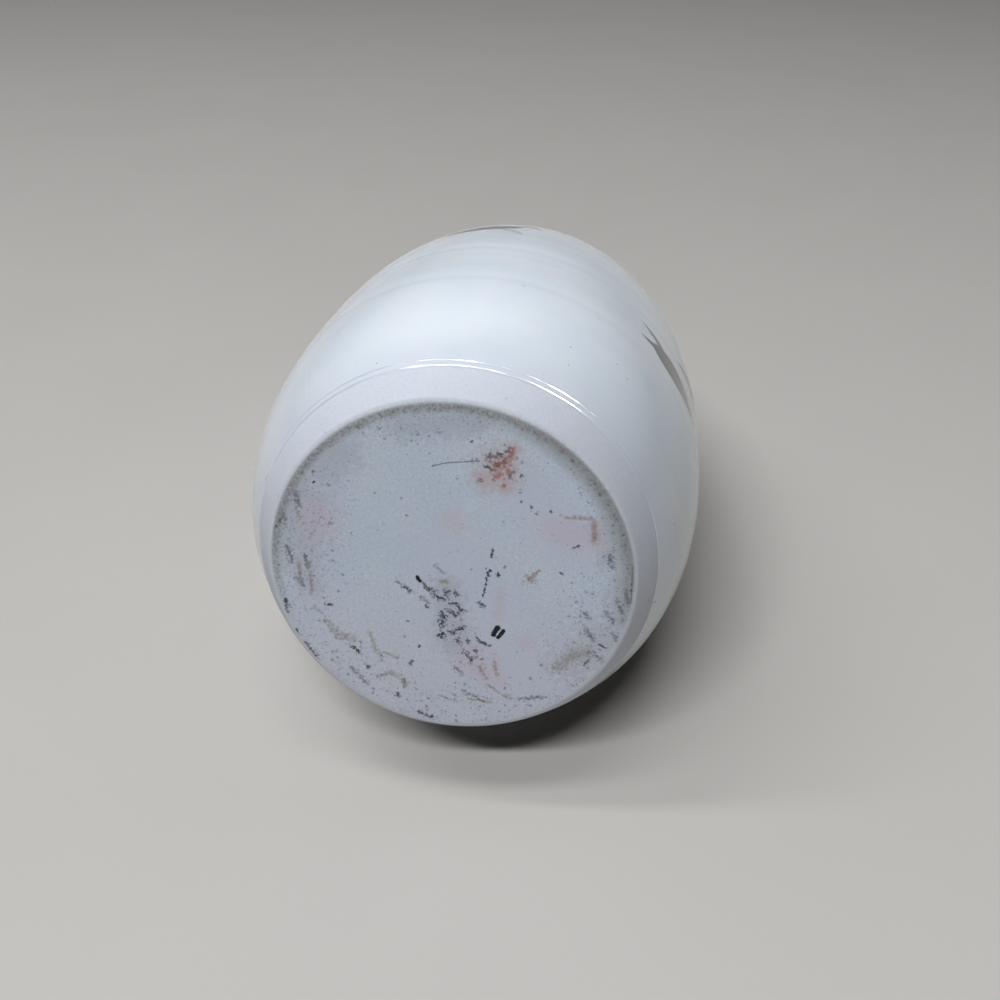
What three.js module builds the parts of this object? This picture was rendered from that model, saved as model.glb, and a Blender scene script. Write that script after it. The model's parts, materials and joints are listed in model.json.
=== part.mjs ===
// Glazed bottle vase, thrown in three sections that are luted together with slip.
// Millimetres, +Z up along the turning axis, origin at the centre of the flat base.
// Every piece is a solid of revolution, and neighbours share the very same profile points,
// so clay, slip and glaze meet face to face.

import * as THREE from "three";

// Body: heights are above the flat base, and radii are those of the clay before glazing.
const totalHeight = 186;
const footRadius = 32;
const footEdgeRadius = 1.6;
const bellyRadius = 43.3;
const bellyHeight = 56;
const lowerWallFullness = 3.5;
const shoulderRise = 91;
const shoulderEndRadius = 20;

// Neck and lip.
const neckRadius = 10.9;
const neckWaistHeight = 160;
const lipRadius = 15.5;
const lipTilt = THREE.MathUtils.degToRad(38);
const lipFlareHeight = 14;

// Walls and floor.
const floorThickness = 7;
const floorFilletRadius = 9;
const bodyWall = 4.5;
const neckWall = 3;

// Luted joints: a V groove in the lower rim, a matching ridge above it, and slip between them.
const slipThickness = 0.8;
const grooveDepth = 1.5;

// Glaze coats. The outer one stops above the base, which has to stay bare in the kiln.
const glazeThickness = 0.5;
const glazeLineHeight = 6;

// How finely the curves are cut.
const turningSteps = 40;
const footEdgeSteps = 3;
const bareBandSteps = 2;
const lowerWallSteps = 6;
const lowerWallStepSpread = 1.25;
const shoulderSteps = 7;
const neckRootSteps = 4;
const neckFlareSteps = 5;
const crownSteps = 3;
const filletSteps = 3;

// Profile points: x is the radius and y is the height.
function point(radius, height) {
  return new THREE.Vector2(radius, height);
}

// A point moved along a direction, with the first one left as it is.
function moved(start, direction, distance) {
  return start.clone().addScaledVector(direction, distance);
}

// Lower wall: it flares out from the foot and stands upright where it reaches the belly.
function lowerWallPoint(height) {
  const below = 1 - height / bellyHeight;
  return point(footRadius + (bellyRadius - footRadius) * (1 - below ** lowerWallFullness), height);
}

// Steps up the lower wall, closer together near the foot, where the wall bends most.
function lowerWall(startHeight, endHeight, steps) {
  const points = [];
  for (let step = 1; step <= steps; step += 1) {
    const share = (step / steps) ** lowerWallStepSpread;
    points.push(lowerWallPoint(THREE.MathUtils.lerp(startHeight, endHeight, share)));
  }
  return points;
}

// Rounded edge from the flat base to the wall, which it meets on the wall's own slope.
function footEdge() {
  const wallSlope = ((bellyRadius - footRadius) * lowerWallFullness) / bellyHeight;
  const endAngle = -Math.atan(wallSlope);
  const endHeight = footEdgeRadius * (1 + Math.sin(endAngle));
  const centreRadius = lowerWallPoint(endHeight).x - footEdgeRadius * Math.cos(endAngle);
  return new THREE.EllipseCurve(
    centreRadius, footEdgeRadius, footEdgeRadius, footEdgeRadius, -Math.PI / 2, endAngle,
  ).getPoints(footEdgeSteps);
}

// Upper wall: part of an ellipse that starts upright just above the belly joint.
function shoulderPoint(angle) {
  return point(bellyRadius * Math.cos(angle), bellyHeight + shoulderRise * Math.sin(angle));
}

function shoulderWall() {
  const startAngle = Math.asin(slipThickness / 2 / shoulderRise);
  const endAngle = Math.acos(shoulderEndRadius / bellyRadius);
  const points = [];
  for (let step = 0; step <= shoulderSteps; step += 1) {
    points.push(shoulderPoint(startAngle + ((endAngle - startAngle) * step) / shoulderSteps));
  }
  return points;
}

// Neck: it leaves the shoulder on the shoulder's own slope, narrows to a waist and flares to the lip.
const lipRoll = neckWall / 2;
const lipCentre = point(lipRadius - lipRoll, totalHeight - glazeThickness - lipRoll);
const lipDirection = point(Math.sin(lipTilt), Math.cos(lipTilt));

function neckWallOutside(shoulder) {
  const shoulderEnd = shoulder[shoulder.length - 1];
  const slope = shoulderEnd.clone().sub(shoulder[shoulder.length - 2]).normalize();
  const start = moved(shoulderEnd, slope, slipThickness);
  const waist = point(neckRadius, neckWaistHeight);
  const reach = (neckWaistHeight - start.y) / 2;
  const root = new THREE.CubicBezierCurve(
    start, moved(start, slope, reach), point(neckRadius, neckWaistHeight - reach), waist);
  const flareEnd = moved(lipCentre, point(lipDirection.y, -lipDirection.x), lipRoll);
  const flare = new THREE.CubicBezierCurve(
    waist, point(neckRadius, flareEnd.y - lipFlareHeight / 2),
    moved(flareEnd, lipDirection, -lipFlareHeight / 2), flareEnd);
  return [...root.getPoints(neckRootSteps), ...flare.getPoints(neckFlareSteps).slice(1)];
}

// Half of the lip's round crown, between two angles and without its first point.
function crown(startAngle, endAngle) {
  return new THREE.EllipseCurve(
    lipCentre.x, lipCentre.y, lipRoll, lipRoll, startAngle, endAngle,
  ).getPoints(crownSteps).slice(1);
}

// Moves a profile square to itself. A positive distance goes away from the inside of the vase.
function offsetProfile(profile, distances) {
  return profile.map((here, index) => {
    const before = profile[Math.max(index - 1, 0)];
    const after = profile[Math.min(index + 1, profile.length - 1)];
    const along = after.clone().sub(before).normalize();
    return moved(here, point(along.y, -along.x), distances[index]);
  });
}

// Clay outside, from the edge of the flat base to the lip.
const bareBand = footEdge();
bareBand.push(...lowerWall(bareBand[footEdgeSteps].y, glazeLineHeight, bareBandSteps));
const lowerOutside = [
  ...bareBand, ...lowerWall(glazeLineHeight, bellyHeight - slipThickness / 2, lowerWallSteps)];
const upperOutside = shoulderWall();
const neckOutside = neckWallOutside(upperOutside);
const clayOutside = [...lowerOutside, ...upperOutside, ...neckOutside];

// Clay inside: the outside moved in by the wall, which thins from body to neck along the neck's root.
const bodyPoints = lowerOutside.length + upperOutside.length;
const wallThicknesses = clayOutside.map((_, index) => {
  const thinned = Math.min(Math.max((index - bodyPoints) / neckRootSteps, 0), 1);
  return -THREE.MathUtils.lerp(bodyWall, neckWall, thinned);
});
const clayInside = offsetProfile(clayOutside, wallThicknesses);
const upperInside = clayInside.slice(lowerOutside.length, bodyPoints);
const neckInside = clayInside.slice(bodyPoints);

// Floor inside, with a fillet up to the first wall point that stands clear of it.
const filletTop = floorThickness + floorFilletRadius / 2;
const innerLowerWall = clayInside.slice(0, lowerOutside.length).filter((here) => here.y > filletTop);
const floorCorner = point(lowerWallPoint(floorThickness).x - bodyWall, floorThickness);
const floorFillet = new THREE.QuadraticBezierCurve(
  point(floorCorner.x - floorFilletRadius, floorThickness), floorCorner, innerLowerWall[0],
).getPoints(filletSteps).slice(0, -1);
const lowerInside = [point(0, floorThickness), ...floorFillet, ...innerLowerWall];

// Middle of a joint's face, pushed down the wall to make the groove, the ridge and the slip's V.
function jointMiddle(outerPoint, innerPoint) {
  const across = innerPoint.clone().sub(outerPoint).normalize();
  const downTheWall = point(-across.y, across.x);
  return moved(outerPoint.clone().lerp(innerPoint, 0.5), downTheWall, grooveDepth);
}

function last(points) {
  return points[points.length - 1];
}

// One joint between the ends of two sections: the faces of both and the slip ring's closed profile.
function lutedJoint(belowOutside, belowInside, aboveOutside, aboveInside) {
  const below = [last(belowOutside), jointMiddle(last(belowOutside), last(belowInside)), last(belowInside)];
  const above = [aboveOutside[0], jointMiddle(aboveOutside[0], aboveInside[0]), aboveInside[0]];
  return { groove: below[1], ridge: above[1], slip: [...below.slice().reverse(), ...above, below[2]] };
}

const bellyJoint = lutedJoint(lowerOutside, lowerInside, upperOutside, upperInside);
const neckJoint = lutedJoint(upperOutside, upperInside, neckOutside, neckInside);

// Glaze runs in one path from the bare band over the lip and down to the floor.
// Both coats come from it, and they meet on top of the lip.
const crownOutside = crown(-lipTilt, Math.PI / 2);
const crownInside = crown(Math.PI / 2, Math.PI - lipTilt).slice(0, -1);
const glazedOutside = [...clayOutside.slice(bareBand.length - 1), ...crownOutside];
const glazedInside = [...lowerInside, ...upperInside, ...neckInside, ...crownInside.slice().reverse()];
const glazeBack = [...glazedOutside, ...glazedInside.slice().reverse()];
const glazeFront = offsetProfile(glazeBack, glazeBack.map(() => glazeThickness));
const lipTop = glazedOutside.length - 1;

// A solid of revolution with its own material, its profile read as a path round the solid.
function turned(name, profile, material) {
  const geometry = new THREE.LatheGeometry(profile, turningSteps);
  geometry.rotateX(Math.PI / 2);
  const mesh = new THREE.Mesh(geometry, new THREE.MeshStandardMaterial(material));
  mesh.name = name;
  return mesh;
}

const bareClay = { color: 0xb9c0c8, roughness: 0.85, metalness: 0 };
const firedSlip = { color: 0xc4c9cf, roughness: 0.8, metalness: 0 };
const clearGlaze = { color: 0xe4ebf2, roughness: 0.16, metalness: 0 };

const lowerBody = turned("lower_body", [
  point(0, 0), ...lowerOutside, bellyJoint.groove, ...lowerInside.slice().reverse()], bareClay);
const upperBody = turned("upper_body", [
  ...upperOutside, neckJoint.groove, ...upperInside.slice().reverse(), bellyJoint.ridge,
  upperOutside[0]], bareClay);
const neck = turned("neck", [
  ...neckOutside, ...crownOutside, ...crownInside, ...neckInside.slice().reverse(), neckJoint.ridge,
  neckOutside[0]], bareClay);
const bellySlip = turned("belly_slip", bellyJoint.slip, firedSlip);
const neckSlip = turned("neck_slip", neckJoint.slip, firedSlip);

const outerGlaze = turned("outer_glaze", [
  ...glazeFront.slice(0, lipTop + 1), ...glazedOutside.slice().reverse(), glazeFront[0]], clearGlaze);
const innerGlaze = turned("inner_glaze", [
  ...glazedInside, glazedOutside[lipTop], ...glazeFront.slice(lipTop)], clearGlaze);

const vase = new THREE.Group();
vase.name = "bottle_vase";
vase.add(lowerBody, bellySlip, upperBody, neckSlip, neck, outerGlaze, innerGlaze);

export default vase;
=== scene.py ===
# %% [markdown]
# # Dressing a glazed bottle vase
#
# The real object is a small white bottle vase, thrown on a wheel, lying on its side so that the
# flat unglazed base faces the camera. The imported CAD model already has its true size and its
# seven pieces. This lesson turns finer versions of the same seven pieces and the threads of melt
# at the glaze's edge, gives them fired clay, slip and glaze, and lights them as in the photograph.
#
# The CAD model stands upright, with its base on the floor of its own frame, and nothing may be
# moved. So the picture is made the other way round: the vase stays where it is, and the camera,
# the lamps and the surface that the vase lies on are turned round it.

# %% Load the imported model
import json
import math

import bmesh
import bpy
from mathutils import Matrix, Vector

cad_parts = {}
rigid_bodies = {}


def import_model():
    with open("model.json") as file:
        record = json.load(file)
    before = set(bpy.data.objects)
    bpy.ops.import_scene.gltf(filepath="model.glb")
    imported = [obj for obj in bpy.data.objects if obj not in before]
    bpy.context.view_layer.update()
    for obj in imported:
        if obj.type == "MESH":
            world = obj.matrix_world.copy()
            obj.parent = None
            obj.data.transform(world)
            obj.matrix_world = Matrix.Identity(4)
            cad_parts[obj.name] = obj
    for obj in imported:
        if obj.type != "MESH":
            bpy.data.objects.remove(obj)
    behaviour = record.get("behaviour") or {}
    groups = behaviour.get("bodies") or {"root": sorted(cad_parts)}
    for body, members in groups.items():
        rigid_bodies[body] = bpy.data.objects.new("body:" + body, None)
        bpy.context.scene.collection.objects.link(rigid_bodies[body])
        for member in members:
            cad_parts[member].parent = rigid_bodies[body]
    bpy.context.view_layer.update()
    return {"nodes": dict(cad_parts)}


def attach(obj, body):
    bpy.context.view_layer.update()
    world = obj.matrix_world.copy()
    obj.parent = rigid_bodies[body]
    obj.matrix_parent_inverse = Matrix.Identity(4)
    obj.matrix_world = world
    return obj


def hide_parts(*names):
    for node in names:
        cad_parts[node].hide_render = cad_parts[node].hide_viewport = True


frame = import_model()
print("pieces in the packed model:", sorted(frame["nodes"]))

# %% [markdown]
# ## The potter's measures
#
# On the real vase these are the sizes that a potter would write on a card. They could be read
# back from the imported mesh, but then every curve would be as coarse as that mesh. Writing the
# same rules again in metres lets each curve be cut as finely as a close picture needs.

# %% Measures of the clay
MM = 0.001
TOTAL_HEIGHT = 186 * MM
FOOT_RADIUS = 32 * MM
FOOT_EDGE_RADIUS = 1.6 * MM
BELLY_RADIUS = 43.3 * MM
BELLY_HEIGHT = 56 * MM
LOWER_WALL_FULLNESS = 3.5
SHOULDER_RISE = 91 * MM
SHOULDER_END_RADIUS = 20 * MM
NECK_RADIUS = 10.9 * MM
NECK_WAIST_HEIGHT = 160 * MM
LIP_RADIUS = 15.5 * MM
LIP_TILT = math.radians(38)
LIP_FLARE_HEIGHT = 14 * MM
FLOOR_THICKNESS = 7 * MM
FLOOR_FILLET_RADIUS = 9 * MM
BODY_WALL = 4.5 * MM
NECK_WALL = 3 * MM
SLIP_THICKNESS = 0.8 * MM
GROOVE_DEPTH = 1.5 * MM
GLAZE_THICKNESS = 0.5 * MM
GLAZE_LINE_HEIGHT = 6 * MM
print(f"height {TOTAL_HEIGHT / MM:.0f} mm, belly {2 * BELLY_RADIUS / MM:.1f} mm across")

# %% How finely the curves are cut
BASE_STEPS, FOOT_EDGE_STEPS, BARE_BAND_STEPS = 16, 10, 12
THREAD_ZONE_STEPS, LOWER_WALL_STEPS, SHOULDER_STEPS = 56, 42, 64
NECK_STEPS, CROWN_STEPS, FILLET_STEPS, FLOOR_STEPS = 24, 12, 12, 10
THREAD_ZONE_HEIGHT = 2 * MM  # above the glaze line, where fine threads need close points
SLOPE_STEPS = 7  # last steps of the shoulder, whose slope the neck takes on
print(f"shoulder in {SHOULDER_STEPS} steps, neck in twice {NECK_STEPS}")

# %% [markdown]
# ## Outside of the clay
#
# A thrown pot is a solid of revolution, so its whole shape is one line: the profile. It could be
# drawn as a Bezier curve by eye. Formulas are better here, because the finer profile then passes
# through the very points that the CAD model has. The line starts at the edge of the flat base,
# flares up to the belly, closes in over the shoulder and ends at the lip.

# %% Foot edge and lower wall
def point(radius, height):
    return Vector((radius, height))


def lower_wall_point(height):
    below = 1 - height / BELLY_HEIGHT
    fullness = 1 - below ** LOWER_WALL_FULLNESS
    return point(FOOT_RADIUS + (BELLY_RADIUS - FOOT_RADIUS) * fullness, height)


def between(low, high, steps):
    """Even steps from low to high, without low itself."""
    return [low + (high - low) * (step / steps) for step in range(1, steps + 1)]


def arc(centre, radius, start, end, steps):
    angles = [start] + between(start, end, steps)
    return [centre + radius * Vector((math.cos(a), math.sin(a))) for a in angles]


def foot_edge():
    slope = (BELLY_RADIUS - FOOT_RADIUS) * LOWER_WALL_FULLNESS / BELLY_HEIGHT
    end = -math.atan(slope)
    end_height = FOOT_EDGE_RADIUS * (1 + math.sin(end))
    centre_radius = lower_wall_point(end_height).x - FOOT_EDGE_RADIUS * math.cos(end)
    centre = point(centre_radius, FOOT_EDGE_RADIUS)
    return arc(centre, FOOT_EDGE_RADIUS, -math.pi / 2, end, FOOT_EDGE_STEPS)


bare_band = foot_edge()
bare_heights = between(bare_band[-1].y, GLAZE_LINE_HEIGHT, BARE_BAND_STEPS)
bare_band += [lower_wall_point(height) for height in bare_heights]
thread_zone_top = GLAZE_LINE_HEIGHT + THREAD_ZONE_HEIGHT
glazed_heights = between(GLAZE_LINE_HEIGHT, thread_zone_top, THREAD_ZONE_STEPS)
glazed_heights += between(thread_zone_top, BELLY_HEIGHT - SLIP_THICKNESS / 2, LOWER_WALL_STEPS)
lower_outside = bare_band + [lower_wall_point(height) for height in glazed_heights]
print("points on the lower wall:", len(lower_outside))

# %% Shoulder, neck and lip
def bezier(a, b, c, d):
    line = []
    for step in range(NECK_STEPS + 1):
        t = step / NECK_STEPS
        s = 1 - t
        line.append(s ** 3 * a + 3 * s * s * t * b + 3 * s * t * t * c + t ** 3 * d)
    return line


shoulder_start = math.asin(SLIP_THICKNESS / 2 / SHOULDER_RISE)
shoulder_end = math.acos(SHOULDER_END_RADIUS / BELLY_RADIUS)
upper_outside = [
    point(BELLY_RADIUS * math.cos(a), BELLY_HEIGHT + SHOULDER_RISE * math.sin(a))
    for a in [shoulder_start] + between(shoulder_start, shoulder_end, SHOULDER_STEPS)]

LIP_ROLL = NECK_WALL / 2
lip_centre = point(LIP_RADIUS - LIP_ROLL, TOTAL_HEIGHT - GLAZE_THICKNESS - LIP_ROLL)
lip_direction = Vector((math.sin(LIP_TILT), math.cos(LIP_TILT)))
slope = (upper_outside[-1] - upper_outside[-1 - SLOPE_STEPS]).normalized()
neck_start = upper_outside[-1] + slope * SLIP_THICKNESS
waist = point(NECK_RADIUS, NECK_WAIST_HEIGHT)
reach = (NECK_WAIST_HEIGHT - neck_start.y) / 2
neck_root = bezier(
    neck_start, neck_start + slope * reach, point(NECK_RADIUS, NECK_WAIST_HEIGHT - reach), waist)
flare_end = lip_centre + LIP_ROLL * Vector((lip_direction.y, -lip_direction.x))
flare = bezier(
    waist, point(NECK_RADIUS, flare_end.y - LIP_FLARE_HEIGHT / 2),
    flare_end - lip_direction * LIP_FLARE_HEIGHT / 2, flare_end)
neck_outside = neck_root + flare[1:]
crown_outside = arc(lip_centre, LIP_ROLL, -LIP_TILT, math.pi / 2, CROWN_STEPS)[1:]
crown_inside = arc(lip_centre, LIP_ROLL, math.pi / 2, math.pi - LIP_TILT, CROWN_STEPS)[1:-1]
print("top of the clay:", round(crown_outside[-1].y / MM, 2), "mm")

# %% [markdown]
# ## Inside of the clay, and the luted joints
#
# The wall of a thrown pot has nearly the same thickness everywhere, so the inside is the outside
# moved in square to itself. The three sections were joined with slip, in a V groove with a ridge
# above it. Solidify could make the wall, but it can't thin it along the neck or cut the groove.

# %% Walls, floor and joints
def moved_square(line, distances):
    """The line moved square to itself; a positive distance goes away from the inside."""
    result = []
    for index, here in enumerate(line):
        before = line[max(index - 1, 0)]
        after = line[min(index + 1, len(line) - 1)]
        along = (after - before).normalized()
        result.append(here + distances[index] * Vector((along.y, -along.x)))
    return result


clay_outside = lower_outside + upper_outside + neck_outside
body_count = len(lower_outside) + len(upper_outside)
walls = []
for index in range(len(clay_outside)):
    thinned = min(max((index - body_count) / NECK_STEPS, 0), 1)
    walls.append(-(BODY_WALL + (NECK_WALL - BODY_WALL) * thinned))
clay_inside = moved_square(clay_outside, walls)
upper_inside = clay_inside[len(lower_outside):body_count]
neck_inside = clay_inside[body_count:]

fillet_top = FLOOR_THICKNESS + FLOOR_FILLET_RADIUS / 2
inner_wall = [p for p in clay_inside[:len(lower_outside)] if p.y > fillet_top]
corner = point(lower_wall_point(FLOOR_THICKNESS).x - BODY_WALL, FLOOR_THICKNESS)
fillet_start = point(corner.x - FLOOR_FILLET_RADIUS, FLOOR_THICKNESS)
fillet = [
    (1 - t) ** 2 * fillet_start + 2 * t * (1 - t) * corner + t * t * inner_wall[0]
    for t in [step / FILLET_STEPS for step in range(FILLET_STEPS)]]
floor_line = [
    point(fillet_start.x * step / FLOOR_STEPS, FLOOR_THICKNESS) for step in range(FLOOR_STEPS)]
lower_inside = floor_line + fillet + inner_wall


def joint_middle(outer, inner):
    across = (inner - outer).normalized()
    return (outer + inner) / 2 + GROOVE_DEPTH * Vector((-across.y, across.x))


belly_groove = joint_middle(lower_outside[-1], lower_inside[-1])
belly_ridge = joint_middle(upper_outside[0], upper_inside[0])
neck_groove = joint_middle(upper_outside[-1], upper_inside[-1])
neck_ridge = joint_middle(neck_outside[0], neck_inside[0])
print("points on the inside of the clay:", len(lower_inside + upper_inside + neck_inside))

# %% [markdown]
# ## The glaze's own profile
#
# Glaze is poured on and melts into a coat half a millimetre thick. Towards the bare band it runs
# out thin, and surface tension pulls the melt into two fine threads there. They are a tenth of a
# millimetre high, but they catch the lamps and are the sharpest lights in the photograph, so they
# are modelled and not left to a bump. They are a ring of their own that is sunk into the coat, so
# that the lamps which make the glints can light them alone. One path runs from the glaze line over
# the lip and down to the floor inside. The wheel raises the threads later, on the side to which
# the wet glaze ran.

# %% Glaze path with its thin edge
EDGE_THICKNESS = 0.05 * MM
EDGE_LENGTH = 0.15 * MM
THINNING_LENGTH = 10 * MM
THREAD_HEIGHT = 0.10 * MM
THREAD_WIDTH = 0.11 * MM
THREAD_PLACES = (0.35 * MM, 1.55 * MM)
THREADS_END = 2.1 * MM
THREAD_SINK = 0.01 * MM
THREAD_ROOT = 0.01 * MM

glazed_outside = clay_outside[len(bare_band) - 1:] + crown_outside
glazed_inside = lower_inside + upper_inside + neck_inside + crown_inside[::-1]
glaze_back = glazed_outside + glazed_inside[::-1]


def smooth(share):
    share = min(max(share, 0), 1)
    return share * share * (3 - 2 * share)


def glaze_thickness(run):
    """Thickness of the coat at a distance along the wall from its edge."""
    edge = EDGE_THICKNESS * math.sqrt(1 - (1 - min(run / EDGE_LENGTH, 1)) ** 2)
    return edge + (GLAZE_THICKNESS - EDGE_THICKNESS) * smooth(run / THINNING_LENGTH)


def thread(run):
    """Height of the two threads at a distance along the wall from the glaze's edge."""
    return THREAD_HEIGHT * sum(math.exp(-((run - p) / THREAD_WIDTH) ** 2) for p in THREAD_PLACES)


runs = [0.0]
for before, after in zip(glaze_back, glaze_back[1:]):
    runs.append(runs[-1] + (after - before).length)
glaze_front = moved_square(glaze_back, [glaze_thickness(run) for run in runs])
lip_top = len(glazed_outside) - 1
thread_runs = [run for run in runs if 0 < run < THREADS_END]
thread_line = glaze_back[1:len(thread_runs) + 1]
thread_top = moved_square(thread_line, [glaze_thickness(run) - THREAD_SINK for run in thread_runs])
thread_back = moved_square(thread_line, [THREAD_ROOT] * len(thread_line))
print(f"glaze path: {len(glaze_back)} points, {runs[-1] / MM:.0f} mm long")

# %% [markdown]
# ## Any node from one method
#
# The wheel that turns the profiles, and every finish below, is a tree of nodes. Wiring nodes one
# at a time is long and hard to read. This small class wraps one output socket and gives it the
# signs of arithmetic, so that an expression such as `1 - mask * 0.5` adds its own Math nodes.
# Every other kind of node comes from `Graph.node`, which takes settings first and values next.

# %% Sockets with arithmetic
def arithmetic(operation, swapped=False):
    """A method that adds a Math node for a wire and a second value, or for the two swapped."""
    def method(wire, value):
        return wire.graph.maths(operation, *((value, wire) if swapped else (wire, value)))
    return method


class Wire:
    """One output socket of a node tree."""
    __add__ = __radd__ = arithmetic("ADD")
    __mul__ = __rmul__ = arithmetic("MULTIPLY")
    __sub__, __rsub__ = arithmetic("SUBTRACT"), arithmetic("SUBTRACT", swapped=True)
    __truediv__, __rtruediv__ = arithmetic("DIVIDE"), arithmetic("DIVIDE", swapped=True)
    __pow__ = arithmetic("POWER")

    def __init__(self, graph, socket):
        self.graph = graph
        self.socket = socket

    def other(self, out):
        """Another output of the same node."""
        return Wire(self.graph, self.socket.node.outputs[out])


print("sockets can be added, multiplied and so on")

# %% Node trees
COLUMN_WIDTH, ROW_HEIGHT, NODES_IN_ROW = 200, 260, 20


class Graph:
    """A node tree that nodes are added to, with the colour of its finish so far."""

    def __init__(self, tree):
        self.tree = tree
        self.made = 0
        self.colour = None

    def node(self, kind, settings=None, values=None, out=0):
        node = self.tree.nodes.new(kind)
        row, column = divmod(self.made, NODES_IN_ROW)
        node.location = (COLUMN_WIDTH * column, -ROW_HEIGHT * row)
        self.made += 1
        for name, setting in (settings or {}).items():
            setattr(node, name, setting)
        for name, value in (values or {}).items():
            socket = node.inputs[name]
            if isinstance(value, Wire):
                self.tree.links.new(value.socket, socket)
            else:
                socket.default_value = value
        return Wire(self, node.outputs[out]) if node.outputs else None

    def group(self, inner, values):
        """A node group, made as a graph of its own, put into this tree."""
        return self.node("ShaderNodeGroup", {"node_tree": inner.tree}, values)

    def maths(self, operation, *values):
        return self.node("ShaderNodeMath", {"operation": operation}, dict(enumerate(values)))

    def limited(self, wire):
        """The wire kept between 0 and 1. The nodes' own clamps fill up a large shader."""
        return self.maths("MINIMUM", self.maths("MAXIMUM", wire, 0.0), 1.0)

    def vector(self, operation, *values, out=0):
        return self.node(
            "ShaderNodeVectorMath", {"operation": operation}, dict(enumerate(values)), out)

    def scaled(self, wire, factor):
        return self.node("ShaderNodeVectorMath", {"operation": "SCALE"}, {0: wire, "Scale": factor})

    def distance(self, one, other):
        return self.vector("DISTANCE", one, other, out=1)

    def joined(self, *parts):
        return self.node("ShaderNodeCombineXYZ", None, dict(enumerate(parts)))

    def parts(self, wire, kind="XYZ"):
        first = self.node("ShaderNodeSeparate" + kind, None, {0: wire})
        return first, first.other(1), first.other(2)

    def step(self, wire, low, high):
        """From 0 to 1 as the wire goes from low to high, with soft ends."""
        return self.node(
            "ShaderNodeMapRange", {"interpolation_type": "SMOOTHSTEP", "clamp": False},
            {"Value": wire, "From Min": low, "From Max": high})

    def noise(self, place, scale, detail=2.0, roughness=0.5, out=0):
        return self.node("ShaderNodeTexNoise", None, {
            "Vector": place, "Scale": scale, "Detail": detail, "Roughness": roughness}, out)

    def mix(self, factor, one, other, blend="MIX"):
        """Two colours mixed; a plain colour is given as three numbers."""
        one, other = [(*part, 1) if isinstance(part, tuple) else part for part in (one, other)]
        return self.node(
            "ShaderNodeMix", {"data_type": "RGBA", "blend_type": blend},
            {0: factor, 6: one, 7: other}, out=2)

    def lay(self, mask, tint):
        """Lays a tint over the colour so far, where the mask says."""
        self.colour = self.mix(mask, self.colour, tint)


def open_group(name, kind, inputs):
    """A new node group with named inputs, given back as a graph and the wires of the inputs."""
    graph = Graph(bpy.data.node_groups.new(name, kind))
    for label, socket_kind in inputs.items():
        graph.tree.interface.new_socket(
            label, in_out="INPUT", socket_type="NodeSocket" + socket_kind)
    entry = graph.tree.nodes.new("NodeGroupInput")
    return graph, {label: Wire(graph, entry.outputs[label]) for label in inputs}


def close_group(graph, outputs):
    leave = graph.tree.nodes.new("NodeGroupOutput")
    for label, (socket_kind, wire) in outputs.items():
        graph.tree.interface.new_socket(
            label, in_out="OUTPUT", socket_type="NodeSocket" + socket_kind)
        graph.tree.links.new(wire.socket, leave.inputs[label])
    print(f"{graph.tree.name}: {len(graph.tree.nodes)} nodes")


print("node trees ready")

# %% [markdown]
# ## A wheel made of Geometry Nodes
#
# Every piece of this vase is the same operation: a profile carried once round the axis. The Screw
# modifier would do that, but a hand-thrown wall isn't quite smooth. The potter's fingers leave
# faint rings, two of them clear in the photograph, and the wall is never perfectly round. So the
# wheel is a small node tree: a grid is bent round the axis, row by row from the profile, and the
# rings and the unevenness are added on the way. The same unevenness goes to all the pieces, so
# they still meet.

# %% The wheel's nodes
TURNING_STEPS = 192
WHEEL_MEASURES = {
    "Finger ring depth": 0.05 * MM, "Finger ring spacing": 5 * MM, "Lower ring height": 35 * MM,
    "Upper ring height": 56 * MM, "Clear ring depth": 0.06 * MM, "Clear ring width": 1.6 * MM,
    "Thread length": 16 * MM, "Unevenness": 0.002, "Seed": 4.0}
UPPER_RING_SHARE = 0.6
RING_CHANGE_ROUND = 0.35
UNEVEN_RISE, UNEVEN_CHANGE_ROUND, UNEVEN_SHIFT = 90 * MM, 0.8, 7.3
RUN_SIDE = (-0.3, -0.8)  # shares of the way to the -Y side: no threads, full threads
THREAD_GAPS = (0.16, 0.46)  # noise at which a thread is gone, and is whole
THREAD_BEADS_PER_MM, THREAD_STRETCH = 0.7, 3
SAME_POINT = 0.002 * MM
SHARP_EDGE = math.radians(38)

wheel, given = open_group("potters_wheel", "GeometryNodeTree", {
    "Profile": "Geometry", "Turning steps": "Int", **dict.fromkeys(WHEEL_MEASURES, "Float"),
    "Finish": "Material"})
points = wheel.node("GeometryNodeAttributeDomainSize", None, {"Geometry": given["Profile"]})
grid = wheel.node("GeometryNodeMeshGrid", None, {
    "Vertices X": given["Turning steps"] + 1, "Vertices Y": points})
index = wheel.node("GeometryNodeInputIndex")
column = wheel.maths("FLOOR", (index + 0.5) / points)
row = index - column * points


def from_profile(kind, value):
    return wheel.node("GeometryNodeSampleIndex", {"data_type": kind}, {
        "Geometry": given["Profile"], "Value": value, "Index": row})


radius, _, height = wheel.parts(
    from_profile("FLOAT_VECTOR", wheel.node("GeometryNodeInputPosition")))
fingers, threads = [
    from_profile("FLOAT", wheel.node(
        "GeometryNodeInputNamedAttribute", {"data_type": "FLOAT"}, {"Name": name}))
    for name in ("fingers", "threads")]
angle = column * (2 * math.pi) / given["Turning steps"]
east = wheel.maths("COSINE", angle)
north = wheel.maths("SINE", angle)


def round_noise(along, around, rise):
    """Noise that varies a little round the wall and closes on itself after one turn."""
    spot = wheel.joined(east * around, north * around, height / along + given["Seed"] + rise)
    return wheel.noise(spot, 1.0, detail=3.0) - 0.5


def clear_ring(ring_height):
    away = (height - ring_height) / given["Clear ring width"]
    return given["Clear ring depth"] * wheel.maths("EXPONENT", 0 - away * away)


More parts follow.
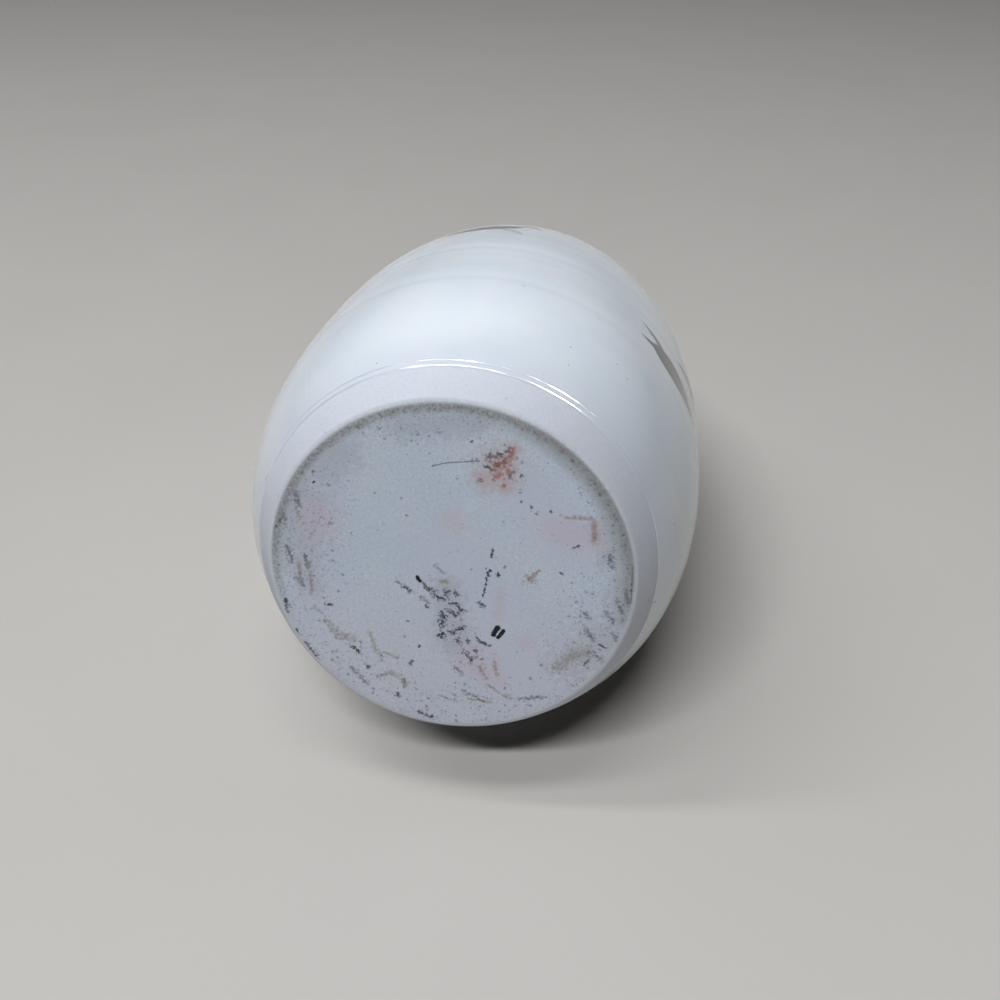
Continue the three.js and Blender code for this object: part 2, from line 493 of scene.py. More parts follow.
ring_noise = round_noise(given["Finger ring spacing"], RING_CHANGE_ROUND, 0)
rings = given["Finger ring depth"] * 2 * ring_noise - clear_ring(given["Lower ring height"]) - (
    clear_ring(given["Upper ring height"]) * UPPER_RING_SHARE)
uneven = given["Unevenness"] * 2 * round_noise(UNEVEN_RISE, UNEVEN_CHANGE_ROUND, UNEVEN_SHIFT)
thread_spot = wheel.joined(east * radius, north * radius, height * THREAD_STRETCH)
thread_noise = wheel.noise(thread_spot, 1 / given["Thread length"])
run_down = wheel.limited(wheel.step(north, *RUN_SIDE))
thread_strength = run_down * wheel.limited(wheel.step(thread_noise, *THREAD_GAPS)) * (
    0.5 + wheel.noise(thread_spot, THREAD_BEADS_PER_MM / MM, detail=1.0))
turned_radius = radius * (1 + uneven) + fingers * rings + threads * thread_strength
turned_place = wheel.joined(turned_radius * east, turned_radius * north, height)
bent = wheel.node("GeometryNodeSetPosition", None, {"Geometry": grid, "Position": turned_place})
closed = wheel.node("GeometryNodeMergeByDistance", None, {"Geometry": bent, "Distance": SAME_POINT})
soft = wheel.maths("LESS_THAN", wheel.node("GeometryNodeInputMeshEdgeAngle"), SHARP_EDGE)
shaded = wheel.node("GeometryNodeSetShadeSmooth", {"domain": "EDGE"}, {
    "Geometry": closed, "Shade Smooth": soft})
real = wheel.node("GeometryNodeRealizeInstances", None, {"Geometry": shaded})
finished = wheel.node("GeometryNodeSetMaterial", None, {
    "Geometry": real, "Material": given["Finish"]})
close_group(wheel, {"Turned piece": ("Geometry", finished)})

# %% [markdown]
# ## Turning the pieces
#
# Each profile is a closed line of points, read once round the piece. A second value on each point
# says how much of the potter's finger rings it gets: all of them on the glaze that shows, none on
# hidden faces and on the flat base. A third value is the height of the glaze threads. The finishes
# are named here and filled later, because some of their marks are placed on the finished surface.

# %% Finishes by name
finishes = {
    name: bpy.data.materials.new(name)
    for name in ("bare_fired_clay", "joint_slip", "outer_white_glaze", "inner_white_glaze")}
print("finishes:", ", ".join(finishes))

# %% Turn a profile on the wheel
def put_in_scene(name, data):
    thing = bpy.data.objects.new(name, data)
    bpy.context.scene.collection.objects.link(thing)
    return thing


def turn(name, profile, finish, ringed=(), thread_heights=()):
    """A closed profile turned into a piece; ringed holds the indexes that get finger rings."""
    count = len(profile)
    line = bpy.data.meshes.new(name + "_profile")
    line.from_pydata([(p.x, 0, p.y) for p in profile], [(i, i + 1) for i in range(count - 1)], [])
    amounts = {
        "fingers": [float(i in ringed) for i in range(count)],
        "threads": [*thread_heights, *[0.0] * (count - len(thread_heights))]}
    for kind, values in amounts.items():
        line.attributes.new(kind, "FLOAT", "POINT").data.foreach_set("value", values)
    blank = put_in_scene(name + "_blank", line)
    modifier = blank.modifiers.new("wheel", "NODES")
    modifier.node_group = wheel.tree
    settings = {**WHEEL_MEASURES, "Turning steps": TURNING_STEPS, "Finish": finishes[finish]}
    for item in wheel.tree.interface.items_tree:
        if item.name in settings:
            modifier[item.identifier] = settings[item.name]
    evaluated = blank.evaluated_get(bpy.context.evaluated_depsgraph_get())
    mesh = bpy.data.meshes.new_from_object(evaluated)
    mesh.name = name
    bpy.data.objects.remove(blank)
    turned = bmesh.new()
    turned.from_mesh(mesh)
    bmesh.ops.recalc_face_normals(turned, faces=turned.faces)
    open_edges = sum(not edge.is_manifold for edge in turned.edges)
    turned.to_mesh(mesh)
    turned.free()
    print(f"{name}: {len(mesh.polygons)} faces, open edges {open_edges}")
    return put_in_scene(name, mesh)


# %% The clay sections
base_line = [point(bare_band[0].x * step / BASE_STEPS, 0) for step in range(BASE_STEPS)]
lower_piece = turn("thrown_lower_body", [
    *base_line, *lower_outside, belly_groove, *lower_inside[::-1]], "bare_fired_clay")
upper_piece = turn("thrown_upper_body", [
    *upper_outside, neck_groove, *upper_inside[::-1], belly_ridge, upper_outside[0]],
    "bare_fired_clay")
neck_piece = turn("thrown_neck", [
    *neck_outside, *crown_outside, *crown_inside, *neck_inside[::-1], neck_ridge,
    neck_outside[0]], "bare_fired_clay")

# %% The slip rings and the two coats of glaze
PLAIN_AT_EDGE, PLAIN_AT_LIP = 60, 30  # points of the coat's outside that get no finger rings

belly_slip_piece = turn("luting_slip_at_belly", [
    lower_inside[-1], belly_groove, lower_outside[-1], upper_outside[0], belly_ridge,
    upper_inside[0], lower_inside[-1]], "joint_slip")
neck_slip_piece = turn("luting_slip_at_neck", [
    upper_inside[-1], neck_groove, upper_outside[-1], neck_outside[0], neck_ridge,
    neck_inside[0], upper_inside[-1]], "joint_slip")
outer_glaze_piece = turn("outer_coat_of_glaze", [
    *glaze_front[:lip_top + 1], *glazed_outside[::-1]], "outer_white_glaze",
    ringed=range(PLAIN_AT_EDGE, lip_top - PLAIN_AT_LIP))
inner_glaze_piece = turn("inner_coat_of_glaze", [
    *glazed_inside, glazed_outside[lip_top], *glaze_front[lip_top:]], "inner_white_glaze")

# %% The threads at the glaze's edge
threads_piece = turn("threads_at_glaze_edge", [
    *thread_top, *thread_back[::-1], thread_top[0]], "outer_white_glaze",
    thread_heights=[thread(run) for run in thread_runs])

# %% [markdown]
# ## Camera at the photograph's viewing angle
#
# The photographer stood over the base and looked down at it, holding the camera level from side
# to side. The vase lies on its belly and leans a little towards its mouth. In the frame of the
# upright vase, the surface that it lies on is therefore a steep plane that touches the belly on
# the +Y side, and "up" for the photographer is mostly -Y. The place of the camera was found by
# matching the ellipse of the base and the outline of the body.

# %% Photographer's directions
MOUTH_DOWN_TILT = math.radians(8)
CAMERA_PLACE = Vector((28.68, -98.34, -170.87)) * MM
CAMERA_TARGET = Vector((8.47, -14.99, 0.0)) * MM
FOCAL_PIXELS = 1150
PICTURE_PIXELS = 1000
SENSOR_WIDTH = 36

tilt_cosine, tilt_sine = math.cos(MOUTH_DOWN_TILT), math.sin(MOUTH_DOWN_TILT)
photo_up = Vector((0, -tilt_cosine, -tilt_sine))
view_forward = (CAMERA_TARGET - CAMERA_PLACE).normalized()
view_right = view_forward.cross(photo_up).normalized()
view_up = view_right.cross(view_forward)
photo_ahead = photo_up.cross(view_right).normalized()


def placed(place, right, up, back):
    """The matrix that puts a thing in its place with its three axes turned."""
    return Matrix.Translation(place) @ Matrix((right, up, back)).transposed().to_4x4()


camera_data = bpy.data.cameras.new("photo_camera")
camera_data.lens = FOCAL_PIXELS / PICTURE_PIXELS * SENSOR_WIDTH
camera_data.sensor_width = SENSOR_WIDTH
camera_data.clip_start = 10 * MM
camera = put_in_scene("photo_camera", camera_data)
camera.matrix_world = placed(CAMERA_PLACE, view_right, view_up, -view_forward)
bpy.context.scene.camera = camera
down_angle = math.degrees(math.asin(-view_forward.dot(photo_up)))
print(f"lens {camera_data.lens:.1f} mm, looking {down_angle:.0f} degrees down")

# %% From a pixel of the photograph to a place on the vase
ON_THE_WALL = 0.1 * MM  # a wall lies at least this far above the plane of the base


def sight_line(pixel):
    across, down = [value - PICTURE_PIXELS / 2 for value in pixel]
    return (view_forward * FOCAL_PIXELS + view_right * across - view_up * down).normalized()


def on_base(pixel):
    """The place on the plane of the flat base, in millimetres, that a pixel shows."""
    sight = sight_line(pixel)
    return (CAMERA_PLACE - sight * CAMERA_PLACE.z / sight.z) / MM


def on_wall(pixel):
    """The place on the glaze or the bare band, in millimetres, that a pixel shows."""
    for piece in (outer_glaze_piece, lower_piece):
        hit, place, _, _ = piece.ray_cast(CAMERA_PLACE, sight_line(pixel))
        if hit and place.z > ON_THE_WALL:
            return place / MM
    raise ValueError(f"pixel {pixel} misses the wall")


print("middle of the picture on the base, in mm:", [round(v, 1) for v in on_base((500, 500))])

# %% [markdown]
# ## Marks that lie on the surface
#
# The base of the real vase is stained, scratched and specked, and each mark has its own place.
# An image texture could hold them, but a procedural mark stays sharp at any size. Two shapes are
# enough: a round spot, and a stroke along a line of points. Both measure the distance to the mark
# in space, counted in half widths of the mark, so they work on the flat base and on the curved
# wall alike, and one threshold turns the distance to the nearest of many marks into a mask.

# %% Spots and strokes
line, given = open_group("stroke_between_two_points", "ShaderNodeTree", {
    "Place": "Vector", "Start": "Vector", "End": "Vector", "Start width": "Float",
    "End width": "Float"})
run = line.vector("SUBTRACT", given["End"], given["Start"])
away = line.vector("SUBTRACT", given["Place"], given["Start"])
share = line.limited(
    line.vector("DOT_PRODUCT", away, run, out=1) / line.vector("DOT_PRODUCT", run, run, out=1))
off = line.distance(away, line.scaled(run, share))
width = given["Start width"] + share * (given["End width"] - given["Start width"])
close_group(line, {"Widths away": ("Float", off / width)})


def nearest_mark(graph, place, marks, on_surface):
    """Distance to the nearest mark, in half widths; on_surface turns a pixel into a place."""
    nearest = None
    for mark in marks.values():
        points = [tuple(on_surface(value)) for value in mark if isinstance(value, tuple)]
        widths = [value for value in mark if not isinstance(value, tuple)]
        strokes = len(points) - 1
        half = [
            widths[0] + (widths[-1] - widths[0]) * n / max(strokes, 1) for n in range(len(points))]
        for n in range(max(strokes, 1)):
            if strokes:
                away = graph.group(line, {
                    "Place": place, "Start": points[n], "End": points[n + 1],
                    "Start width": half[n], "End width": half[n + 1]})
            else:
                away = graph.distance(place, points[n]) / half[n]
            nearest = away if nearest is None else graph.maths("MINIMUM", nearest, away)
    return nearest


print("spots and strokes ready")

# %% Specks and other patterns
SMALLEST_SPECK = 0.35  # share of the size that the smallest speck has
SPECK_CORE = 0.3  # share of a speck that is fully dark

speckle, given = open_group("scattered_specks", "ShaderNodeTree", {
    "Place": "Vector", "Cells per mm": "Float", "Amount": "Float", "Size": "Float"})
cell = speckle.node("ShaderNodeTexVoronoi", None, {
    "Vector": given["Place"], "Scale": given["Cells per mm"]})
chance, second_chance, _ = speckle.parts(cell.other(1), "Color")
here = speckle.maths("LESS_THAN", chance, given["Amount"])
size = given["Size"] * (SMALLEST_SPECK + second_chance)
close_group(speckle, {"Mask": ("Float", here * speckle.step(cell, size, size * SPECK_CORE))})


def specks(graph, place, cells_per_mm, amount, size):
    """Small round specks, in as many of the cells as the amount says."""
    return graph.group(speckle, {
        "Place": place, "Cells per mm": cells_per_mm, "Amount": amount, "Size": size})


def wandering(graph, place, scale, reach):
    """The place moved about by noise, which makes the edges of marks ragged."""
    colour = graph.noise(place, scale, detail=4, roughness=0.7, out=1)
    shift = graph.joined(*[part - 0.5 for part in graph.parts(colour, "Color")])
    return graph.vector("ADD", place, graph.scaled(shift, reach))


print("patterns ready")

# %% [markdown]
# ## Fired clay of the base
#
# The base and the band above it are bare clay, fired hard: matt, cool grey-white and finely
# sandy. Years of use have left a line of dirt where the base meets the wall, a rust red stain, a
# scratch, grey rubbing marks and some short dark ticks. Soft grey shade inside the left of the
# rim is painted into the clay colour as well. A painted mask could do the same, but the lists
# below keep each mark in words, with the pixel where the photograph shows it.

# %% Marks on the base, by pixel of the photograph
# name: pixels along it, then its half width in mm, or the two at its ends
# Grey rubbing on the base, and painted shade: the soft grey patches inside the rim on the left are
# shade painted into the clay colour.
GREY_RUBBING_AND_PAINTED_SHADE = {
    "left": ((302, 500), (298, 545), 4.6, 4.0), "lower left": ((303, 565), (310, 585), 2.8, 2.0),
    "upper left": ((325, 470), (345, 455), 3.0), "top": ((400, 428), (480, 424), 2.0),
    "right": ((607, 560), 1.7), "right edge": ((619, 585), (621, 620), 1.8, 2.4),
    "right corner": ((600, 528), (608, 548), 1.8), "low right": ((604, 636), (570, 664), 3.2, 3.6),
    "round the trail": ((446, 588), (455, 645), 2.4, 3.0)}
LILAC_CLOUDS = {
    "round the trail": ((450, 560), (500, 680), 8.0, 9.0), "below": ((430, 690), (540, 690), 5.0),
    "right of the stain": ((525, 490), (560, 540), 4.0, 5.0), "left": ((320, 500), (320, 590), 4.0)}
PINK_CLOUDS = {
    "beside the scratch": ((453, 521), 2.0), "low": ((470, 658), (484, 676), 2.6, 2.2),
    "middle line": ((500, 590), (499, 618), 0.7, 0.9),
    "low line": ((494, 655), (497, 680), 0.8, 1.3), "right of the dashes": ((527, 642), 1.5),
    "right": ((556, 528), (588, 538), 2.4, 2.8), "left": ((318, 520), 3.6)}
OLIVE_STREAKS = {
    "low right": ((556, 668), (572, 656), (588, 653), 1.2, 1.5),
    "left": ((326, 620), (338, 634), (352, 639), 0.7, 1.1),
    "left, dark": ((340, 636), (348, 636), 0.5), "left, low": ((350, 645), (358, 650), 0.5, 0.4),
    "second left": ((370, 632), (375, 648), (381, 656), 0.45, 0.6),
    "second left, foot": ((385, 652), (398, 658), 0.4),
    "left haze": ((315, 607), (322, 613), 0.5, 0.4),
    "low left": ((380, 676), (389, 672), (399, 676), 0.5, 0.6), "low left end": ((405, 682), 0.9),
    "bottom left": ((438, 695), (456, 701), 0.25, 0.3),
    "bottom left upper": ((450, 693), (459, 697), 0.25, 0.2),
    "bottom": ((468, 699), (480, 700), (491, 702), 0.3, 0.45), "rust halo": ((531, 580), 1.3),
    "left edge": ((297, 497), (296, 509), (298, 516), 0.4, 0.5)}
YELLOW_BLOTS = {
    "over the trail": ((442, 581), (446, 582), 0.5, 0.45),
    "foot left": ((404, 680), (405, 686), 0.4, 0.35), "bottom": ((479, 699), (484, 701), 0.3)}
RUST_MARKS = {
    "corner, top": ((566, 518), (580, 518), (592, 519), 0.28, 0.4),
    "corner, side": ((594, 521), (595, 540), 0.5, 0.7),
    "short": ((529, 579), (534, 575), (540, 570), 0.42, 0.2),
    "bottom line": ((487, 684), (500, 693), 0.22, 0.26),
    "bottom line end": ((503, 695), (510, 698), 0.4, 0.5),
    "low": ((479, 667), (487, 679), 0.42, 0.3), "low second": ((494, 662), (497, 675), 0.3, 0.4),
    "left": ((299, 563), (301, 580), 0.35, 0.3), "left, low": ((310, 572), (312, 592), 0.3)}
RED_CLOUD = {
    "middle": ((500, 469), 3.4), "arm": ((510, 458), (514, 447), 1.5, 1.1),
    "lower left": ((487, 479), 2.2), "below": ((505, 484), 1.8)}
RED_CORE = {
    "core": ((496, 466), (505, 461), 1.1), "arm": ((508, 459), (513, 449), 0.9, 0.5),
    "right": ((509, 472), 0.7), "below": ((498, 475), 0.9), "lower left": ((481, 480), 0.4),
    "low": ((504, 486), 0.4)}
DARK_IN_THE_RED = {
    "left blot": ((487, 467), (490, 469), 0.5, 0.45),
    "over the core": ((487, 457), (501, 454), 0.7, 0.6),
    "right": ((513, 472), (510, 478), 0.4, 0.5), "top": ((505, 445), 0.25),
    "in the core": ((497, 466), (505, 462), 0.5, 0.4), "lower left": ((480, 480), 0.4),
    "round the arm": ((508, 451), (512, 447), 0.5, 0.4)}
RUBBED_TRAIL = {
    "from the tick": ((420, 580), (425, 586), (433, 592), 0.3, 0.6),
    "joined to it": ((435, 597), (444, 599), 0.35, 0.45), "start": ((447, 593), 0.75),
    "start, right": ((455, 592), (458, 595), 0.4),
    "loop": ((450, 603), (457, 604), (461, 610), (457, 616), (449, 611), 0.32, 0.4),
    "loop's corner": ((460, 611), 0.55), "left blot": ((443, 615), (442, 625), 0.75, 0.55),
    "low left blot": ((442, 635), 0.8), "middle": ((452, 633), (463, 627), 0.45),
    "dark blots": ((458, 641), 0.6), "second dark blot": ((468, 641), 0.5),
    "low": ((464, 652), (471, 659), 0.4, 0.6), "low right": ((475, 651), 0.45),
    "low right second": ((481, 659), 0.3), "smear": ((405, 587), (411, 592), 0.4),
    "stem head": ((489, 571), (487, 578), 0.5, 0.25), "stem": ((487, 578), (483, 597), 0.2, 0.18),
    "stem foot": ((480, 603), (483, 606), 0.5), "beside the stem": ((498, 575), 0.5),
    "left dash": ((352, 646), (359, 652), 0.3, 0.34),
    "far left dash": ((325, 604), (331, 605), 0.25, 0.3),
    "bent dash": ((476, 638), (480, 642), (487, 645), 0.25, 0.42), "low edge": ((398, 695), 0.5),
    "bottom dots": ((417, 711), (431, 717), 0.35, 0.4),
    "right edge": ((633, 566), (631, 606), 0.16, 0.2),
    "lower left edge": ((286, 600), (287, 612), 0.4, 0.3),
    "lower left edge, middle": ((296, 630), (298, 635), 0.4, 0.35),
    "lower left edge, low": ((305, 642), (318, 660), 0.4, 0.3)}
SMALL_BLOTS = {
    "right of middle": ((563, 574), (561, 573), 0.3, 0.25),
    "dash": ((574, 548), (579, 546), 0.3, 0.25), "beside the stain": ((521, 476), 0.36),
    "pair, left": ((537, 513), 0.34), "pair, right": ((551, 512), 0.3),
    "above the pair": ((531, 507), 0.28), "over the pair": ((521, 502), 0.24),
    "over the stem": ((493, 550), (491, 557), 0.3, 0.25), "by the stem": ((505, 567), 0.3),
    "low left": ((368, 667), 0.5), "low left second": ((410, 664), (412, 661), 0.4, 0.3),
    "far left": ((285, 546), 0.4), "left": ((280, 521), 0.36), "left second": ((276, 526), 0.3),
    "lower": ((408, 621), 0.25), "top": ((472, 441), 0.3), "upper left": ((313, 472), 0.3),
    "upper left second": ((314, 482), 0.3), "right": ((613, 525), 0.3),
    "right dash": ((600, 645), (607, 648), 0.3, 0.25), "low right": ((588, 661), (584, 665), 0.3),
    "low right end": ((607, 662), 0.36), "right second": ((586, 618), 0.3),
    "bottom": ((429, 698), 0.36), "bottom right": ((529, 705), 0.4), "low smear": ((419, 646), 0.3),
    "low smear second": ((426, 606), (428, 608), 0.3)}
WORN_STROKES = {
    "right edge": ((609, 556), (612, 567), 0.8, 0.6), "right": ((606, 612), (613, 622), 0.5),
    "right, outer": ((617, 602), (622, 613), 0.5, 0.4),
    "right, inner": ((583, 613), (590, 618), 0.5, 0.4),
    "right, lower": ((587, 631), (594, 641), 0.55, 0.45),
    "low right": ((595, 655), (603, 661), 0.45, 0.4),
    "right, by the rim": ((626, 590), (628, 603), 0.4, 0.5),
    "far right": ((613, 634), (617, 640), 0.4), "left": ((296, 492), (300, 506), 0.6, 0.5),
    "left, middle": ((288, 548), (291, 560), 0.6), "left, inner": ((305, 556), (309, 566), 0.5),
    "left, upper": ((283, 515), (284, 523), 0.5), "left, lower": ((297, 577), (303, 585), 0.6, 0.5),
    "above the trail": ((436, 566), (443, 573), 0.4, 0.3),
    "under the tick": ((421, 597), (428, 603), 0.5, 0.4),
    "beside the smear": ((396, 581), (402, 585), 0.4, 0.3),
    "trail's tail": ((455, 668), (463, 674), 0.5, 0.4), "bottom": ((463, 692), (478, 697), 0.4),
    "bottom right": ((520, 699), (545, 697), 0.4),
    "bottom left": ((352, 668), (366, 682), 0.5, 0.4)}
SCRATCHES = {
    "long scratch": ((432, 466), (446, 463), (462, 462), (480, 461), 0.13, 0.1)}
INK_TICKS = {
    "tick head": ((417, 577), (419.5, 580.5), 0.34, 0.36),
    "first dash": ((497.6, 627.6), (493.4, 634.6), 0.5, 0.46),
    "second dash": ((503.4, 631), (498, 637.4), 0.36, 0.38)}
SPECKED_AREAS = {
    "left": ((298, 500), (302, 570), 9.0), "right": ((600, 610), (590, 665), 8.0),
    "bottom": ((400, 705), (520, 705), 5.0), "stain": ((500, 466), 5.0),
    "trail": ((440, 590), (475, 665), 3.0, 3.6), "top": ((380, 425), (500, 417), 4.0),
    "right edge": ((590, 470), (628, 560), 3.5), "lower left": ((320, 640), (400, 690), 5.0),
    "bottom right": ((520, 704), (565, 690), 3.0)}
print("marks in the rubbed trail:", len(RUBBED_TRAIL), "and small blots:", len(SMALL_BLOTS))

# %% Marks on the wall, by pixel of the photograph
TICK = 0.15
WALL_TICKS = {
    "left": ((302, 428), (299, 433), TICK), "left, upper": ((310, 418), (311, 421), TICK),
    "hair, far left": ((268, 474), (266, 480), (265, 485), TICK),
    "fleck, top": ((457, 381), (462, 380), (466, 381), TICK),
    "fleck above it": ((460, 372), (463, 373), TICK),
    "hair, right": ((655, 543), (657, 549), (657, 556), (655, 559), TICK),
    "fleck, right": ((650, 563), (653, 562), TICK), "fleck, low": ((653, 603), (656, 601), TICK)}
print("ticks on the wall:", len(WALL_TICKS))

# %% Start and close a finish
def start_finish(material):
    material.use_nodes = True
    material.node_tree.nodes.clear()
    graph = Graph(material.node_tree)
    return graph, graph.scaled(graph.node("ShaderNodeTexCoord", out=3), 1 / MM)


def close_finish(graph, roughness, relief_mm, constants):
    normal = graph.node("ShaderNodeBump", None, {
        "Strength": 1.0, "Distance": 1 * MM, "Height": relief_mm})
    shader = graph.node("ShaderNodeBsdfPrincipled", None, {
        "Base Color": graph.colour, "Roughness": roughness, "Normal": normal, **constants})
    graph.node("ShaderNodeOutputMaterial", None, {"Surface": shader})
    print("nodes of the finish:", len(graph.tree.nodes))


print("finishes can be started and closed")

# %% Colours of the fired clay
CLAY_COOL = (0.445, 0.51, 0.595)
CLAY_PALE = (0.475, 0.53, 0.605)
CLAY_LILAC = (0.46, 0.49, 0.59)
CLAY_WARM = (0.50, 0.495, 0.56)
BAND_WHITE = (0.515, 0.54, 0.595)
RIM_BROWN = (0.24, 0.225, 0.21)
RIM_GREY = (0.24, 0.26, 0.27)
RIM_GREEN = (0.22, 0.25, 0.20)
SHADE_GREY = (0.305, 0.305, 0.345)
OLIVE = (0.24, 0.235, 0.19)
YELLOW_BROWN = (0.22, 0.19, 0.10)
RUST_CLOUD = (0.43, 0.33, 0.32)
RUST_RED = (0.32, 0.14, 0.115)
PINK = (0.49, 0.41, 0.47)
INK_BLACK = (0.008, 0.008, 0.012)
RUBBED_GREY = (0.04, 0.04, 0.062)
RUST_BROWN = (0.26, 0.165, 0.13)
SPECK_GREY = (0.095, 0.094, 0.125)
print("colours of the clay and its stains ready")

# %% Patterns of the fired clay
# None of the area at the first value, all of it at the second. The values are millimetres, but
# for the last pair, which is how far the grain stands above or below its middle.
UNDER_RADIUS = (31.7, 31.1)
NEAR_SIDE, FAR_SIDE, RIGHT_SIDE = (-2.0, 22.0), (14.0, -8.0), (2.0, 18.0)
RIM_LINE, WIDE_RIM, RIM_END = (29.6, 30.8), (27.6, 30.0), (32.0, 31.4)
EITHER_WAY = (-0.1, 0.1)

clay, place = start_finish(finishes["bare_fired_clay"])
toward_right, toward_near, _ = clay.parts(place)
from_axis = clay.vector("LENGTH", clay.vector("MULTIPLY", place, (1, 1, 0)), out=1)
broad = clay.noise(place, 0.09, detail=3)
mottle = clay.noise(place, 0.45, detail=5, roughness=0.6)
sand = clay.noise(place, 2.2, detail=3, roughness=0.6)
coarse_grain = clay.noise(place, 0.8, detail=5, roughness=0.6) - 0.5
fine_grain = clay.noise(place, 1.7, detail=3, roughness=0.65) - 0.5
under = clay.step(from_axis + fine_grain * 0.5, *UNDER_RADIUS)
near_side = clay.step(toward_near + coarse_grain * 12, *NEAR_SIDE)
print("clay patterns ready")

# %% Body colour of the clay, and the band above the base
band = clay.mix(clay.step(mottle, 0.4, 0.7) * 0.12, BAND_WHITE, CLAY_LILAC)
clay.colour = clay.mix(clay.step(broad, 0.38, 0.62), CLAY_COOL, CLAY_PALE)
clay.lay(clay.step(mottle, 0.45, 0.68) * 0.5, CLAY_LILAC)
# A warmer tint, growing towards the side of the base next to the resting surface.
clay.lay(near_side * 0.5, CLAY_WARM)
clay.colour = clay.mix(under, band, clay.colour)
grain = 1.0 + ((sand - 0.5) * 0.45 + fine_grain * 0.3) * (0.4 + under * 0.6)
grain_grey = clay.node("ShaderNodeCombineColor", None, {0: grain, 1: grain, 2: grain})
clay.colour = clay.mix(1.0, clay.colour, grain_grey, "MULTIPLY")


def lay_marks(marks, tint, strength, grain, raggedness, softness, cover=1.0):
    """Lays marks of the base. The grain breaks them up, and more so the less they cover."""
    nearest = nearest_mark(clay, place, marks, on_base)
    mask = clay.step(nearest + grain * raggedness, cover + softness / 2, cover - softness / 2)
    worn = strength * (0.8 + coarse_grain * 2.2) if cover < 1.0 else strength
    clay.lay(mask * worn * under, tint)
    return mask


lay_marks(LILAC_CLOUDS, CLAY_LILAC, 0.55, coarse_grain, 3.0, 1.4)
# Grey rubbing, and painted shade inside the left of the rim, laid in one grey.
lay_marks(GREY_RUBBING_AND_PAINTED_SHADE, SHADE_GREY, 0.36, coarse_grain, 4.0, 1.6)
lay_marks(PINK_CLOUDS, PINK, 0.45, coarse_grain, 2.6, 1.6)
print("body colour of the clay laid")

# %% Dirt round the rim
far_side = clay.step(toward_near, *FAR_SIDE)
right_side = clay.step(toward_right, *RIGHT_SIDE) * far_side
ragged_radius = from_axis + coarse_grain * 2.0
outer_end = clay.step(from_axis + fine_grain * 0.8, *RIM_END)
rim_line = clay.step(ragged_radius, *RIM_LINE) * outer_end
wide_rim = clay.step(ragged_radius, *WIDE_RIM) * outer_end
clay.lay(wide_rim * (right_side * 0.5 + far_side * 0.12), RIM_GREY)
greenish = clay.step(clay.noise(place, 0.2, detail=1), 0.56, 0.63)
patchy = clay.step(fine_grain, *EITHER_WAY)
rim_tint = clay.mix(clay.step(coarse_grain, *EITHER_WAY), RIM_GREY, RIM_BROWN)
rim_tint = clay.mix(greenish * 0.5, rim_tint, RIM_GREEN)
clay.lay(rim_line * (far_side * (0.45 + patchy * 0.4) + patchy * 0.15), rim_tint)
rim_amount = rim_line * (far_side * 0.8 + 0.15)
print("dirt round the rim laid")

# %% [markdown]
# ## Laying the marks on the clay
#
# On the real base a mark is something rubbed into sandy clay: it catches on the high grains and
# skips the low ones, so no mark is solid or evenly dark. Each group of marks could have its own
# painted texture. Here the grain of the clay itself breaks the marks up. It shifts the threshold
# of the mask, and it makes the worn marks stronger in one place than in another. The order is
# that of the real layers: stains first, then rubbing and scratches, and ink on top.

# %% Stain, streaks, rubbing and ticks
lay_marks(RED_CLOUD, RUST_CLOUD, 0.65, coarse_grain, 3.0, 1.6)
lay_marks(RED_CORE, RUST_RED, 0.95, fine_grain, 4.5, 1.4, cover=0.9)
lay_marks(OLIVE_STREAKS, OLIVE, 0.7, fine_grain, 5.0, 1.2, cover=0.7)
lay_marks(YELLOW_BLOTS, YELLOW_BROWN, 0.85, fine_grain, 4.5, 1.0, cover=0.9)
lay_marks(RUST_MARKS, RUST_BROWN, 0.7, fine_grain, 4.5, 1.4, cover=0.9)
lay_marks(DARK_IN_THE_RED, RUBBED_GREY, 0.75, fine_grain, 6.0, 1.0, cover=0.55)
lay_marks(WORN_STROKES, SPECK_GREY, 0.75, fine_grain, 6.5, 1.3, cover=0.7)
lay_marks(RUBBED_TRAIL, RUBBED_GREY, 1.1, fine_grain, 6.5, 1.1, cover=0.75)
lay_marks(SMALL_BLOTS, RUBBED_GREY, 0.95, fine_grain, 4.5, 1.0, cover=0.85)
scratch_mask = lay_marks(SCRATCHES, SPECK_GREY, 0.7, fine_grain, 3.0, 1.0)
lay_marks(INK_TICKS, INK_BLACK, 1.0, fine_grain, 1.4, 0.5)
print("drawn marks laid")

# %% Specks of the base and ticks of the wall
SPECK_STRENGTH, BAND_SPECK_STRENGTH = 0.6, 0.35
SPECKS_EVERYWHERE, SPECKS_IN_AREAS = 0.05, 0.7
# cells per mm, share of them that hold a speck, size of the specks in cells
COARSE_SPECKS, FINE_SPECKS, BAND_SPECKS = (1.1, 0.5, 0.4), (2.4, 1.0, 0.42), (0.9, 0.06, 0.26)

specked = nearest_mark(clay, place, SPECKED_AREAS, on_base)
amount = SPECKS_EVERYWHERE + clay.limited(1.3 - specked) * SPECKS_IN_AREAS + rim_amount
tattered = wandering(clay, place, 1.6, 1.4)
for cells_per_mm, share, size in (COARSE_SPECKS, FINE_SPECKS):
    mask = specks(clay, tattered, cells_per_mm, amount * share, size)
    clay.lay(mask * SPECK_STRENGTH * under, SPECK_GREY)
on_band = 1 - under
clay.lay(specks(clay, place, *BAND_SPECKS) * on_band * BAND_SPECK_STRENGTH, SPECK_GREY)
ticked = nearest_mark(clay, place, WALL_TICKS, on_wall) + fine_grain * 1.6
clay.lay(clay.step(ticked, 1.6, 0.6) * SPECK_STRENGTH * on_band, SPECK_GREY)
trimming = clay.maths("SINE", from_axis * 5.2 + mottle * 2)
relief = sand * 0.035 + fine_grain * 0.02 + mottle * 0.03 + trimming * 0.0015 * under
relief = relief - scratch_mask * 0.02
close_finish(clay, 0.68 + sand * 0.2, relief, {"Specular IOR Level": 0.35})

